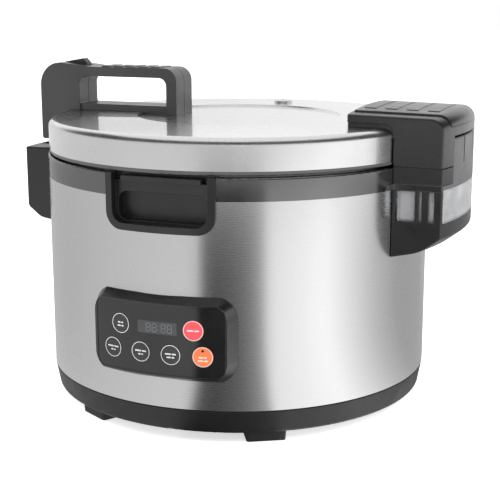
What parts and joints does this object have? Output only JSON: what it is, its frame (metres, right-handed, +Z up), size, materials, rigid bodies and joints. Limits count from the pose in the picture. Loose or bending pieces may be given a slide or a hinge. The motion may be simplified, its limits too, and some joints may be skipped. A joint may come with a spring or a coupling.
{
  "type": "rice cooker",
  "caption": "Large round electric rice cooker with a hinged latching lid, loop handle, carrying grips, key panel and a pull-out dew collector.",
  "frame": {"origin": "centre of the footprint on the floor, on the round body's axis", "axes": "+Z up; -Y faces the control panel; +X points to the lid's hinge and the dew collector"},
  "size_m": [0.513, 0.444, 0.366],
  "materials": {
    "rubber": "matt",
    "screw_steel": "bright",
    "base_plastic": "fine texture",
    "shell_steel": "brushed round the body",
    "band_plastic": "satin",
    "liner_steel": "plain",
    "heater": "matt",
    "wool": "fibrous",
    "plate_aluminium": "satin",
    "element_steel": "heat-tinted",
    "bracket_steel": "zinc plated",
    "spring_steel": "bright",
    "grip_plastic": "satin",
    "panel_plastic": "satin",
    "overlay_gloss": "gloss",
    "display": "dark window",
    "circuit": "circuit board",
    "housing_plastic": "satin",
    "latch_plastic": "satin",
    "pin_steel": "bright",
    "lid_steel": "polished",
    "lid_trim": "satin",
    "silicone": "matt",
    "handle_plastic": "satin",
    "cover_plastic": "satin",
    "collector_grey": "satin",
    "clear": "clear plastic",
    "key_black": "gloss",
    "key_red": "gloss",
    "key_orange": "gloss"
  },
  "bodies": {
    "cooker_body": {"feet": "rubber", "foot_screws": "screw_steel", "base_pan": "base_plastic", "outer_shell": "shell_steel", "trim_band": "band_plastic", "inner_liner": "liner_steel", "liner_supports": "liner_steel", "side_heater": "heater", "liner_insulation": "wool", "heating_plate": "plate_aluminium", "inner_pot": "plate_aluminium", "heating_element": "element_steel", "thermal_fuse": "element_steel", "thermostat_bracket": "bracket_steel", "latch_strike": "bracket_steel", "hinge_bracket": "bracket_steel", "thermostat_spring": "spring_steel", "front_grip": "grip_plastic", "rear_grip": "grip_plastic", "panel_housing": "panel_plastic", "panel_overlay": "overlay_gloss", "display_window": "display", "control_board": "circuit", "power_board": "circuit", "inlet_housing": "housing_plastic", "latch_housing": "housing_plastic", "hinge_block": "housing_plastic", "hinge_housing": "housing_plastic", "power_inlet": "housing_plastic"},
    "lid": {"lid_shell": "lid_steel", "lid_ring": "lid_trim", "lid_gasket": "silicone", "inner_lid": "plate_aluminium", "inner_lid_knob": "lid_trim", "lid_insulation": "wool", "steam_vent": "pin_steel", "handle_front": "handle_plastic", "handle_rear": "handle_plastic", "handle_screws": "screw_steel", "latch_pin": "pin_steel", "lever_pin": "pin_steel", "hinge_cover": "cover_plastic", "hinge_top_plate": "cover_plastic", "lid_hinge_bracket": "bracket_steel", "hinge_pin": "pin_steel"},
    "release_lever": {"release_lever": "latch_plastic"},
    "latch_hook": {"latch_hook": "latch_plastic"},
    "dew_collector": {"collector_frame": "collector_grey", "collector_cup": "clear"},
    "thermostat": {"thermostat_plunger": "plate_aluminium"},
    "delay_key": {"delay_key": "key_black"},
    "short_grain_key": {"short_grain_key": "key_black"},
    "long_grain_key": {"long_grain_key": "key_black"},
    "porridge_key": {"porridge_key": "key_black"},
    "power_key": {"power_key": "key_red"},
    "keep_warm_key": {"keep_warm_key": "key_orange"}
  },
  "joints": [
    {"name": "lid_hinge", "type": "hinge", "parent": "cooker_body", "child": "lid", "pos_m": [0.246, 0, 0.278], "axis": [0, 1, 0], "range_deg": [0, 80]},
    {"name": "lever_press", "type": "hinge", "parent": "lid", "child": "release_lever", "pos_m": [-0.211, 0, 0.3585], "axis": [0, 1, 0], "range_deg": [0, 5], "stiffness_Nm_per_rad": 0.6, "springref_deg": -17.19},
    {"name": "hook_swing", "type": "hinge", "parent": "lid", "child": "latch_hook", "pos_m": [-0.222, 0, 0.318], "axis": [0, 1, 0], "range_deg": [0, 5]},
    {"name": "collector_slide", "type": "slide", "parent": "cooker_body", "child": "dew_collector", "axis": [1, 0, 0], "range_m": [0, 0.07]},
    {"name": "thermostat_travel", "type": "slide", "parent": "cooker_body", "child": "thermostat", "axis": [0, 0, -1], "range_m": [0, 0.003], "stiffness_N_per_m": 400, "springref_m": -0.004},
    {"name": "delay_press", "type": "slide", "parent": "cooker_body", "child": "delay_key", "axis": [0.1703, 0.9854, 0], "range_m": [0, 0.0005], "stiffness_N_per_m": 600, "springref_m": -0.0005},
    {"name": "short_grain_press", "type": "slide", "parent": "cooker_body", "child": "short_grain_key", "axis": [0.2145, 0.9767, 0], "range_m": [0, 0.0005], "stiffness_N_per_m": 600, "springref_m": -0.0005},
    {"name": "long_grain_press", "type": "slide", "parent": "cooker_body", "child": "long_grain_key", "axis": [0.0675, 0.9977, 0], "range_m": [0, 0.0005], "stiffness_N_per_m": 600, "springref_m": -0.0005},
    {"name": "porridge_press", "type": "slide", "parent": "cooker_body", "child": "porridge_key", "axis": [-0.0783, 0.9969, 0], "range_m": [0, 0.0005], "stiffness_N_per_m": 600, "springref_m": -0.0005},
    {"name": "power_press", "type": "slide", "parent": "cooker_body", "child": "power_key", "axis": [-0.1823, 0.9832, 0], "range_m": [0, 0.0005], "stiffness_N_per_m": 600, "springref_m": -0.0005},
    {"name": "keep_warm_press", "type": "slide", "parent": "cooker_body", "child": "keep_warm_key", "axis": [-0.2233, 0.9747, 0], "range_m": [0, 0.0005], "stiffness_N_per_m": 600, "springref_m": -0.0005}
  ],
  "couplings": [
    {"joint": "hook_swing", "follows": "lever_press", "ratio": 0.9}
  ]
}
